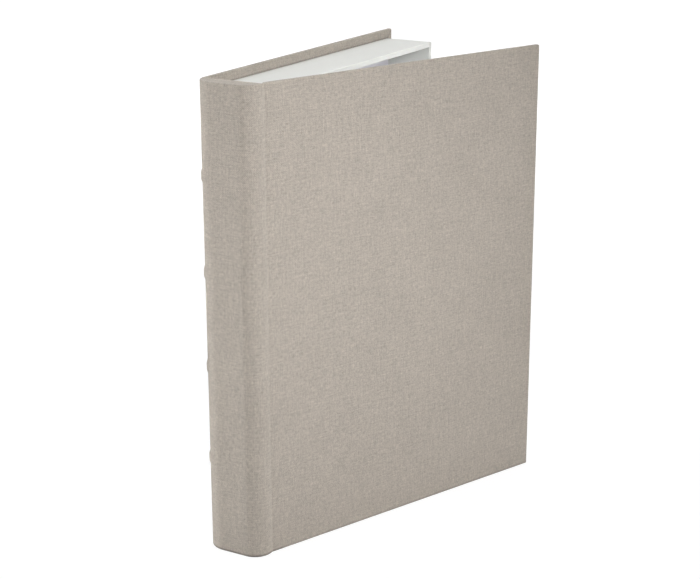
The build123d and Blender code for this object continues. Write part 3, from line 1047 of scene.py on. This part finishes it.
def soft_lamp(name, energy, size, at, towards, spread):
    """A soft lamp at a point, aimed at another, that the camera doesn't see."""
    lamp = bpy.data.lights.new(name, "AREA")
    lamp.shape, lamp.size, lamp.size_y = "RECTANGLE", size[0], size[1]
    lamp.energy, lamp.spread = energy, radians(spread)
    holder = bpy.data.objects.new(name, lamp)
    bpy.context.scene.collection.objects.link(holder)
    holder.location = at
    holder.visible_camera = False
    way = Vector(towards) - Vector(at)
    holder.rotation_mode = "QUATERNION"
    holder.rotation_quaternion = way.to_track_quat("-Z", "Y")


def seen_directly(tree):
    """1 for a ray from the camera, or one mirrored or passed on by glass."""
    path = tree.nodes.new("ShaderNodeLightPath")
    value = path.outputs["Is Camera Ray"]
    for name in ("Is Glossy Ray", "Is Transmission Ray"):
        greater = tree.nodes.new("ShaderNodeMath")
        greater.operation = "MAXIMUM"
        tree.links.new(value, greater.inputs[0])
        tree.links.new(path.outputs[name], greater.inputs[1])
        value = greater.outputs[0]
    return value


def make_surroundings():
    """Even light from all round, and pure white where they are seen."""
    world = bpy.data.worlds.new("studio")
    bpy.context.scene.world = world
    world.use_nodes = True
    tree = world.node_tree
    tree.nodes.clear()
    mix = tree.nodes.new("ShaderNodeMixShader")
    tree.links.new(seen_directly(tree), mix.inputs[0])
    for socket, strength in zip(mix.inputs[1:], (AMBIENT, 1.0)):
        light = tree.nodes.new("ShaderNodeBackground")
        light.inputs["Color"].default_value = WHITE
        light.inputs["Strength"].default_value = strength
        tree.links.new(light.outputs[0], socket)
    out = tree.nodes.new("ShaderNodeOutputWorld")
    tree.links.new(mix.outputs[0], out.inputs[0])


def make_floor():
    """A round pale floor: it lights the box as grey paper and is seen almost white."""
    n = Nodes("floor_paper")
    plain = n.add("BsdfDiffuse", Color=FLOOR_GREY)
    shade = n.add("BsdfDiffuse", Color=FLOOR_SHADE)
    far = n.vector("LENGTH", n.add("TexCoord", out=3), out=1)
    glow = n.add("Emission", Color=WHITE, Strength=n.range(far, *GLOW_REACH, *GLOW))
    bright = n.add("AddShader", shade, glow)
    mixed = n.add("MixShader", seen_directly(n.tree), plain, bright)
    n.tree.links.new(mixed, n.output.inputs["Surface"])
    turn = np.linspace(0, 2 * pi, 65)[:-1]
    ring = FLOOR_RADIUS * np.stack([np.cos(turn), np.sin(turn)], -1)
    mesh = bpy.data.meshes.new("floor")
    mesh.from_pydata(with_height(ring, -FLOOR_DROP), [], [list(range(len(ring)))])
    mesh.materials.append(n.material)
    floor = bpy.data.objects.new("floor", mesh)
    bpy.context.scene.collection.objects.link(floor)


def make_lamps():
    """The soft lamps, each at its angles and distance from what it is aimed at."""
    for name, energy, size, (azimuth, elevation, distance), aim, spread in LAMPS:
        a, e = radians(azimuth), radians(elevation)
        way = np.array((cos(e) * cos(a), cos(e) * sin(a), sin(e)))
        soft_lamp(name, energy, size, np.array(aim) + distance * way, aim, spread)


def make_camera():
    """The camera, from its place, its two angles and its small roll."""
    yaw, pitch, roll = (radians(angle) for angle in CAMERA_ANGLES)
    ahead = Vector((cos(pitch) * cos(yaw), cos(pitch) * sin(yaw), -sin(pitch)))
    right = Vector((sin(yaw), -cos(yaw), 0))
    up = right.cross(ahead)
    tilted_right = cos(roll) * right + sin(roll) * up
    tilted_up = cos(roll) * up - sin(roll) * right
    lens = bpy.data.cameras.new("camera")
    lens.lens, lens.sensor_width, lens.sensor_fit = LENS, SENSOR, "HORIZONTAL"
    lens.clip_start, lens.clip_end = 0.05, 50.0
    camera = bpy.data.objects.new("camera", lens)
    bpy.context.scene.collection.objects.link(camera)
    turn = Matrix((tilted_right, tilted_up, -ahead)).transposed().to_4x4()
    camera.matrix_world = Matrix.Translation(CAMERA_PLACE) @ turn
    bpy.context.scene.camera = camera


# Operators


def assign(node, material):
    """Gives a CAD node its finish."""
    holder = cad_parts[node]
    if not holder.data.materials:
        holder.data.materials.append(material)
    for k in range(len(holder.data.materials)):
        holder.data.materials[k] = material


class BOOKBOX_OT_stage(bpy.types.Operator):
    """Floor, surroundings, lamps and camera"""

    bl_idname = "bookbox.stage"
    bl_label = "Stage"

    def execute(self, context):
        make_surroundings()
        make_floor()
        make_lamps()
        context.scene.view_settings.view_transform = "Standard"
        make_camera()
        return {"FINISHED"}


class BOOKBOX_OT_case_cloth(bpy.types.Operator):
    """The book cloth over the covers, the spine and the joints"""

    bl_idname = "bookbox.case_cloth"
    bl_label = "Case cloth"

    def execute(self, context):
        settings = context.scene.book_box
        cloth = linen("greige_linen", settings)
        back_cover_cloth(cloth)
        spine_wrap_cloth(cloth, settings)
        hinge_cloth(cloth)
        front_cover_cloth(cloth)
        inner_hinge_cloth(cloth)
        return {"FINISHED"}


class BOOKBOX_OT_papers(bpy.types.Operator):
    """White papers of the tray and the front cover's lining"""

    bl_idname = "bookbox.papers"
    bl_label = "Papers"

    def execute(self, context):
        tray_wall_paper(paper("tray_paper", (236, 237, 233), over_rim=True))
        # painted light: a paler, bluish white than the walls' paper, standing in for the bluish
        # light in the shade inside the tray
        assign("tray_floor_paper", paper("tray_floor_paper", (245, 244, 250)))
        assign("front_lining_paper", paper("lining_paper", (236, 237, 233)))
        return {"FINISHED"}


class BOOKBOX_OT_boards(bpy.types.Operator):
    """Boards and cards inside the cloth and the papers"""

    bl_idname = "bookbox.boards"
    bl_label = "Boards"

    def execute(self, context):
        binders = board("binders_board", (142, 133, 122), (96, 88, 80))
        card = board("filler_card", (198, 188, 170), (160, 148, 130), 0.2)
        spine = board("spine_board", (176, 160, 136), (120, 106, 88), 0.6)
        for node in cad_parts:
            if "filler_card" in node:
                assign(node, card)
            elif node.startswith("raised_band") or node == "spine_core":
                assign(node, spine)
            elif node.endswith("_board") or node.startswith("tray_") and "paper" not in node:
                assign(node, binders)
        return {"FINISHED"}


class BOOKBOX_PT_pieces(bpy.types.Panel):
    """The settings, and a button for each operator"""

    bl_idname = "BOOKBOX_PT_pieces"
    bl_label = "Book Box"
    bl_space_type = "VIEW_3D"
    bl_region_type = "UI"
    bl_category = "Book Box"

    def draw(self, context):
        for name in BookBoxSettings.__annotations__:
            self.layout.prop(context.scene.book_box, name)
        for operator in OPERATORS:
            self.layout.operator(operator.bl_idname)


OPERATORS = (
    BOOKBOX_OT_stage,
    BOOKBOX_OT_case_cloth,
    BOOKBOX_OT_papers,
    BOOKBOX_OT_boards,
)
CLASSES = (BookBoxSettings, *OPERATORS, BOOKBOX_PT_pieces)


def register():
    for entry in CLASSES:
        bpy.utils.register_class(entry)
    bpy.types.Scene.book_box = bpy.props.PointerProperty(type=BookBoxSettings)


def unregister():
    del bpy.types.Scene.book_box
    for entry in reversed(CLASSES):
        bpy.utils.unregister_class(entry)


def main():
    """Makes every piece."""
    register()
    for operator in OPERATORS:
        group, name = operator.bl_idname.split(".")
        getattr(getattr(bpy.ops, group), name)()


if __name__ == "__main__":
    main()
